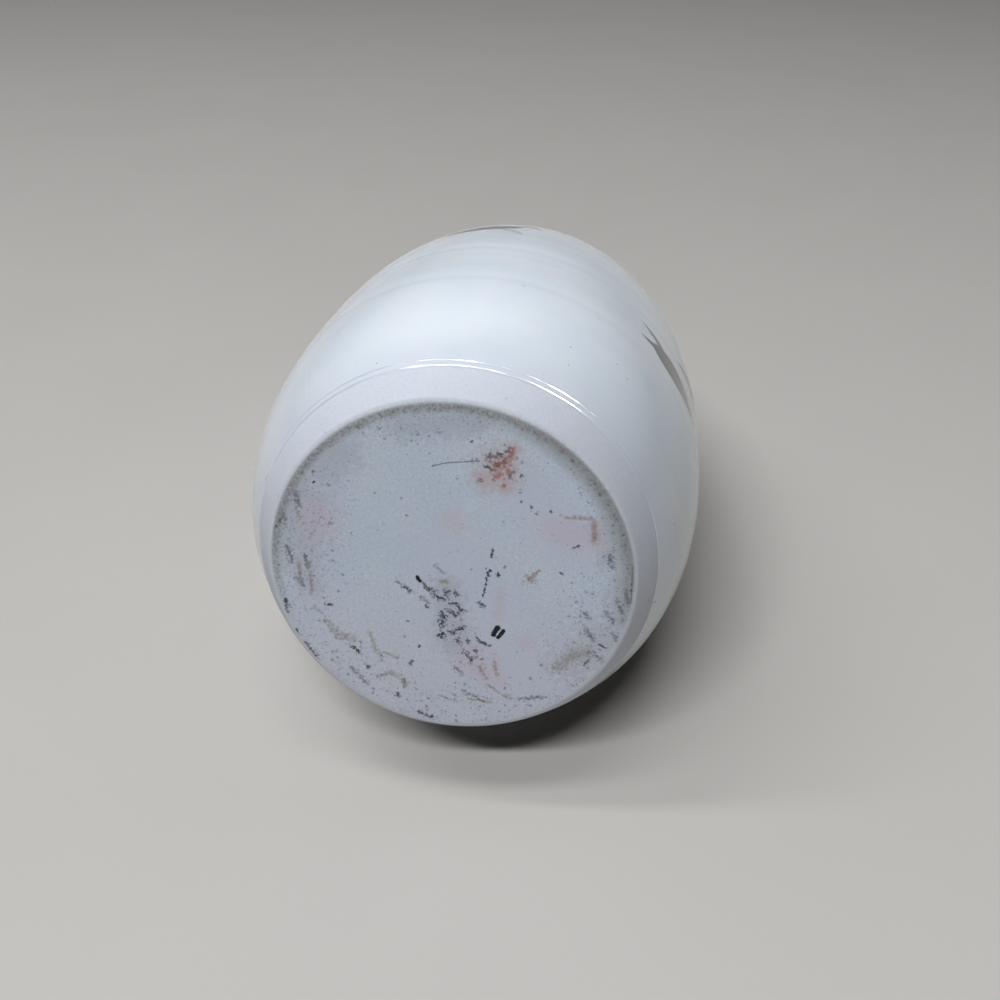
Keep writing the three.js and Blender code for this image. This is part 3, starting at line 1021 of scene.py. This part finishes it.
# %% [markdown]
# ## White glaze with brushed leaves
#
# The glaze is a glossy bluish white, a little uneven in colour where it ran thick or thin. Grey
# brushwork lies under it. The photograph shows only the lowest tips of the strokes, so the rest
# is a plain spray of bamboo leaves, a traditional motif on such vases. Leaves could be cut from
# thin meshes, but paint has no thickness. Here the wall is unrolled into a flat sheet, with the
# distance round the belly as one side and the height as the other, and each leaf is a pointed
# shape on that sheet. The brush leaves streaks along a leaf, so each leaf also hands on how far
# across it a place is.

# %% Leaves: tip and stalk by angle and height, then width, bend and strength
RIGHT_SPRAY = {
    "first touch of the lowest leaf": ((-47.6, 42.2), (-38.0, 44.8), 2.6, -0.07, 0.95),
    "lowest leaf": ((-17.2, 41.8), (-42.5, 43.6), 9.4, -0.05, 0.95),
    "thin leaf behind it": ((-47.8, 49.9), (-36.5, 45.3), 2.8, 0.1, 0.8),
    "rising leaf": ((-31.4, 55.2), (-9.0, 62.5), 6.0, 0.04, 0.9),
    "lower twig": ((-22.0, 48.0), (-13.5, 74.0), 1.6, 0.03, 0.7),
    "right drooping leaf": ((-1.0, 55.0), (-14.0, 75.0), 5.6, -0.06, 0.85),
    "upper twig": ((-15.5, 68.0), (-3.0, 112.0), 1.5, -0.04, 0.75),
    "left high leaf": ((-30.0, 88.0), (-10.0, 90.0), 4.4, 0.1, 0.6),
    "right high leaf": ((9.0, 78.0), (-9.0, 92.0), 5.0, -0.07, 0.9),
    "right top leaf": ((16.0, 99.0), (-5.0, 106.0), 4.6, -0.08, 0.7),
    "left top leaf": ((-27.0, 110.0), (-4.0, 110.0), 3.8, 0.1, 0.85),
    "end leaf": ((5.0, 126.0), (-3.5, 109.0), 3.4, 0.04, 0.6)}
TOP_SPRAY = {
    "lying leaf": ((-112.0, 76.0), (-86.0, 82.5), 8.4, 0.02, 0.95),
    "drooping touch": ((-84.8, 69.2), (-93.0, 77.0), 2.8, -0.12, 0.5),
    "small leaf": ((-79.6, 82.2), (-88.0, 88.0), 3.2, -0.05, 0.85),
    "hanging leaf": ((-118.0, 84.0), (-101.0, 99.0), 4.8, 0.06, 0.7),
    "twig": ((-94.5, 80.0), (-90.0, 131.0), 1.5, 0.03, 0.75),
    "left leaf": ((-124.0, 98.0), (-98.0, 106.0), 4.6, 0.08, 0.9),
    "right leaf": ((-70.0, 97.0), (-92.0, 109.0), 4.8, -0.08, 0.65),
    "left high leaf": ((-121.0, 118.0), (-95.0, 119.0), 4.0, 0.08, 0.6),
    "right high leaf": ((-68.0, 116.0), (-91.0, 124.0), 3.8, -0.08, 0.85)}
print("leaves:", len(RIGHT_SPRAY) + len(TOP_SPRAY))

# %% One leaf on the unrolled wall
SHEET_RADIUS = (BELLY_RADIUS + GLAZE_THICKNESS) / MM
LEAF_BASE_POWER, LEAF_TIP_POWER = 0.6, 1.1
FULLEST_LEAF = 1.53  # makes the widest place of a leaf as wide as its given width
INK_EDGE = 0.35


def on_sheet(angle_degrees, height_mm):
    return (math.radians(angle_degrees) * SHEET_RADIUS, height_mm, 0)


leaf, given = open_group("brushed_leaf", "ShaderNodeTree", {
    "Sheet": "Vector", "Tip": "Vector", "Stalk": "Vector", "Width": "Float", "Bend": "Float",
    "Strength": "Float", "Ink so far": "Float", "Across so far": "Float"})
run = leaf.vector("SUBTRACT", given["Stalk"], given["Tip"])
away = leaf.vector("SUBTRACT", given["Sheet"], given["Tip"])
length = leaf.vector("LENGTH", run, out=1)
share = leaf.limited(leaf.vector("DOT_PRODUCT", away, run, out=1) / (length * length))
across = leaf.vector("NORMALIZE", leaf.vector("CROSS_PRODUCT", (0, 0, 1), run))
bow = share * (1 - share) * 4 * given["Bend"] * length
off = leaf.vector("DOT_PRODUCT", away, across, out=1) - bow
half_width = share ** LEAF_TIP_POWER * (1 - share) ** LEAF_BASE_POWER * (
    given["Width"] * FULLEST_LEAF)
mask = leaf.step(half_width - leaf.maths("ABSOLUTE", off), 0.0, INK_EDGE)
close_group(leaf, {
    "Ink": ("Float", leaf.maths("MAXIMUM", mask * given["Strength"], given["Ink so far"])),
    "Across": ("Float", leaf.node("ShaderNodeMix", None, {
        0: mask, 2: given["Across so far"], 3: off + length}))})


def brushwork(graph, sheet, leaves):
    """The ink at each place, and the place across the stroke in millimetres."""
    ink, across = 0.0, 0.0
    for tip, stalk, width, bend, strength in leaves:
        ink = graph.group(leaf, {
            "Sheet": sheet, "Tip": on_sheet(*tip), "Stalk": on_sheet(*stalk), "Width": width,
            "Bend": bend, "Strength": strength, "Ink so far": ink, "Across so far": across})
        across = ink.other(1)
    return ink, across


# %% Colours and fill of the outer glaze
GLAZE_WHITE = (0.595, 0.635, 0.675)
GLAZE_BLUE = (0.56, 0.61, 0.66)
GLAZE_ROSE = (0.61, 0.62, 0.665)
THIN_GLAZE = (0.56, 0.60, 0.665)
BRUSH_GREY = (0.03, 0.04, 0.044)
BRUSH_GREEN = (0.20, 0.27, 0.25)
THIN_BELOW, FULL_ABOVE = 6.5, 13.0  # heights in mm: thin-looking up to one, full from the other on
STREAKS_ACROSS, STREAKS_ALONG = 2.6, 0.08


def white_glaze(name, brushed):
    glaze, place = start_finish(finishes[name])
    x, y, rise = glaze.parts(place)
    pool = glaze.noise(place, 0.045, detail=3)
    drift = glaze.noise(place, 0.12, detail=3)
    peel = glaze.noise(place, 0.7, detail=3, roughness=0.55)
    fine_peel = glaze.noise(place, 2.6, detail=2)
    glaze.colour = glaze.mix(glaze.step(pool, 0.4, 0.62), GLAZE_WHITE, GLAZE_BLUE)
    glaze.lay(glaze.step(drift, 0.5, 0.66) * 0.55, GLAZE_ROSE)
    glaze.lay(glaze.step(rise, FULL_ABOVE, THIN_BELOW) * 0.9, THIN_GLAZE)
    pits = specks(glaze, place, 0.5, 0.09, 0.12)
    relief = peel * 0.011 + fine_peel * 0.0035 + glaze.noise(place, 0.2) * 0.03 - pits * 0.03
    if brushed:
        round_the_belly = glaze.maths("ARCTAN2", y, x) * SHEET_RADIUS
        sheet = wandering(glaze, glaze.joined(round_the_belly, rise), 0.9, 0.7)
        ink, across = brushwork(glaze, sheet, [*RIGHT_SPRAY.values(), *TOP_SPRAY.values()])
        bristles = glaze.noise(glaze.joined(
            across * STREAKS_ACROSS, rise * STREAKS_ALONG, round_the_belly * STREAKS_ALONG),
            1.0, detail=3)
        wash = 0.8 + glaze.step(bristles, 0.38, 0.6) * 0.2
        pigment = glaze.mix(glaze.step(ink, 0.5, 0.8), BRUSH_GREEN, BRUSH_GREY)
        glaze.lay(ink * wash, pigment)
        ticked = nearest_mark(glaze, place, WALL_TICKS, on_wall) + fine_peel - 0.5
        glaze.lay(glaze.step(ticked, 1.4, 0.5) * SPECK_STRENGTH, SPECK_GREY)
    glaze.lay(pits * SPECK_STRENGTH, SPECK_GREY)
    close_finish(glaze, 0.13 + drift * 0.08 + fine_peel * 0.03, relief, {
        "IOR": 1.5, "Coat Weight": 0.35, "Coat Roughness": 0.06})


white_glaze("outer_white_glaze", brushed=True)
white_glaze("inner_white_glaze", brushed=False)

# %% [markdown]
# ## Slip in the joints
#
# The slip that joins the sections is the same clay made liquid, so it fires to a slightly paler,
# smoother ring. Glaze covers it on the finished vase, and it shows only where the pieces are
# looked at one by one. A flat colour would do for something hidden, but each piece of the part is
# also used alone.

# %% Slip finish
SLIP_PALE = (0.74, 0.77, 0.82)
SLIP_GREY = (0.62, 0.66, 0.71)
BRUSHED_ROUND = (0.3, 0.3, 2.5)
slip, place = start_finish(finishes["joint_slip"])
brushed_on = slip.noise(slip.vector("MULTIPLY", place, BRUSHED_ROUND), 1.0, detail=4)
slip.colour = slip.mix(slip.step(brushed_on, 0.35, 0.65), SLIP_PALE, SLIP_GREY)
close_finish(slip, 0.7 + brushed_on * 0.15, brushed_on * 0.05, {"Specular IOR Level": 0.4})

# %% [markdown]
# ## The pieces take the places of the CAD nodes
#
# Nothing on a vase moves, so all the pieces ride on the one body. Each finer piece stands for its
# own coarse CAD node, which is then hidden but stays in the model for collision.

# %% Ride on the body and replace the CAD nodes
PIECES = {
    "lower_body": (lower_piece, "bare_clay"), "upper_body": (upper_piece, "bare_clay"),
    "neck": (neck_piece, "bare_clay"), "belly_slip": (belly_slip_piece, "slip"),
    "neck_slip": (neck_slip_piece, "slip"), "outer_glaze": (outer_glaze_piece, "glaze"),
    "inner_glaze": (inner_glaze_piece, "glaze")}
for node, (piece, slot) in PIECES.items():
    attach(piece, "root")
    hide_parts(node)
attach(threads_piece, "root")
print("pieces on the body:", ", ".join(PIECES))

# %% [markdown]
# ## Surface, lamps and air
#
# The vase lies on a pale surface. In the frame of the upright vase that surface is a steep plane
# touching the belly, and a camera on its other side would see only its back. It is therefore
# clear from behind, as a one-sided studio sheet is in many renderers. A second sheet under the
# upright vase does the same for views from above, and only cameras see it, so it throws nothing
# back at the base. Both are stage: they aren't part of the vase.

# %% One-sided sheets
SHEET_REACH = 3.0
PALE_SURFACE = (0.785, 0.75, 0.705)
PALER = 1.05
GROUND_DROP = 0.3 * MM


def one_sided(name):
    material = bpy.data.materials.new(name)
    graph, place = start_finish(material)
    paler = tuple(channel * PALER for channel in PALE_SURFACE)
    surface = graph.node("ShaderNodeBsdfPrincipled", None, {
        "Base Color": graph.mix(graph.noise(place, 0.02), PALE_SURFACE, paler),
        "Roughness": 0.9, "Specular IOR Level": 0.1})
    clear = graph.node("ShaderNodeBsdfTransparent")
    back = graph.node("ShaderNodeNewGeometry", out=6)
    seen = graph.node("ShaderNodeMixShader", None, {0: back, 1: surface, 2: clear})
    graph.node("ShaderNodeOutputMaterial", None, {"Surface": seen})
    return material


def sheet_of(name, middle, side, other_side):
    """A flat sheet about its middle that faces along side x other_side."""
    mesh = bpy.data.meshes.new(name)
    corners = [middle + SHEET_REACH * (side * a + other_side * b) for a, b in (
        (-1, -1), (1, -1), (1, 1), (-1, 1))]
    mesh.from_pydata(corners, [], [(0, 1, 2, 3)])
    mesh.materials.append(one_sided("pale_" + name))
    sheet = put_in_scene(name, mesh)
    print(name, "faces", [round(v, 2) for v in mesh.polygons[0].normal])
    return sheet


print("one-sided sheets can be made")

# %% Put the sheets in place
touch = max(p.x * tilt_cosine + p.y * tilt_sine for p in glaze_front)
along_sheet = Vector((0, -tilt_sine, tilt_cosine))
rest_sheet = sheet_of("resting_surface", -photo_up * touch, Vector((1, 0, 0)), along_sheet)
ground_sheet = sheet_of(
    "ground_below", Vector((0, 0, -GROUND_DROP)), Vector((1, 0, 0)), Vector((0, 1, 0)))
for ray in ("diffuse", "glossy", "transmission", "volume_scatter", "shadow"):
    setattr(ground_sheet, "visible_" + ray, False)
print(f"surface lies {touch / MM:.1f} mm from the middle of the base")

# %% [markdown]
# ## Lamps
#
# The photograph was lit by long ceiling tubes: two glints in the glaze, with a gap between them,
# show where the nearest ones hung. Their light falls steeply from the left and gives the short
# hard shadow under the base. One large lamp for everything would be simpler, but it can't be
# bright on the shoulder, grey on the base and sharp in the glints at the same time. So each of
# these has its own lamp, and light linking says what it lights: the lamp beyond the shoulder
# lights the vase and not the sheet, and the two glint lamps light only the threads of glaze.

# %% Lamps
LIT_PLACE = Vector((0, -36 * MM, 7 * MM))
LAMP_COLOUR = (0.975, 1.0, 1.03)
LAMPS = {
    # name: (right, ahead, up) from the lit place in metres, width, depth, watts, bounces
    "left_tube": ((-0.28, -0.85, 1.17), 0.80, 0.08, 11.0, 1),
    "left_ceiling_tube": ((-0.75, -0.04, 1.25), 0.80, 0.14, 3.2, 1),
    "middle_ceiling_tube": ((-0.15, -0.35, 1.35), 0.80, 0.20, 3.8, 1),
    "lamp_beyond_the_shoulder": ((-0.12, 1.22, 1.14), 1.30, 0.80, 29.5, 0),
    "lamp_over_the_mouth": ((-0.16, 0.70, -0.34), 0.50, 0.50, 2.7, 0),
    "left_glint": ((-0.50, -0.85, 1.17), 0.66, 0.08, 100.0, 0),
    "right_glint": ((0.68, -0.85, 1.17), 0.44, 0.08, 60.0, 0),
}
lamps = {}
for name, (where, width, depth, watts, bounces) in LAMPS.items():
    data = bpy.data.lights.new(name, "AREA")
    data.shape = "RECTANGLE"
    data.size, data.size_y = width, depth
    data.energy = watts
    data.color = LAMP_COLOUR
    data.cycles.max_bounces = bounces
    offset = view_right * where[0] + photo_ahead * where[1] + photo_up * where[2]
    back = offset.normalized()
    side = (view_right - back * view_right.dot(back)).normalized()
    lamps[name] = put_in_scene(name, data)
    lamps[name].matrix_world = placed(LIT_PLACE + offset, side, back.cross(side), back)
print("lamps:", ", ".join(lamps))

# %% What the helping lamps light, and what shades them
def helping_collection(name, objects):
    collection = bpy.data.collections.new(name)
    for thing in objects:
        collection.objects.link(thing)
    return collection


vase_only = helping_collection(
    "lit_from_beyond", [threads_piece, *(piece for piece, _ in PIECES.values())])
threads_only = helping_collection("shows_glints", [threads_piece])
no_shade = helping_collection("sheet_that_does_not_shade", [rest_sheet])
lamps["lamp_beyond_the_shoulder"].light_linking.receiver_collection = vase_only
lamps["lamp_over_the_mouth"].light_linking.blocker_collection = no_shade
no_shade.collection_objects[0].light_linking.link_state = "EXCLUDE"
for name in ("lamp_beyond_the_shoulder", "lamp_over_the_mouth"):
    lamps[name].visible_glossy = False
for name in ("left_glint", "right_glint"):
    lamps[name].light_linking.receiver_collection = threads_only
    lamps[name].visible_diffuse = False
print("helping lamps linked")

# %% Air and picture colours
AIR_COLOUR = (1.0, 0.95, 0.90, 1)
AIR_STRENGTH = 0.02
air = bpy.data.worlds.new("pale_studio_air")
air.use_nodes = True
air_inputs = air.node_tree.nodes["Background"].inputs
air_inputs["Color"].default_value = AIR_COLOUR
air_inputs["Strength"].default_value = AIR_STRENGTH
bpy.context.scene.world = air
bpy.context.scene.view_settings.view_transform = "Standard"
print("air and picture colours set")
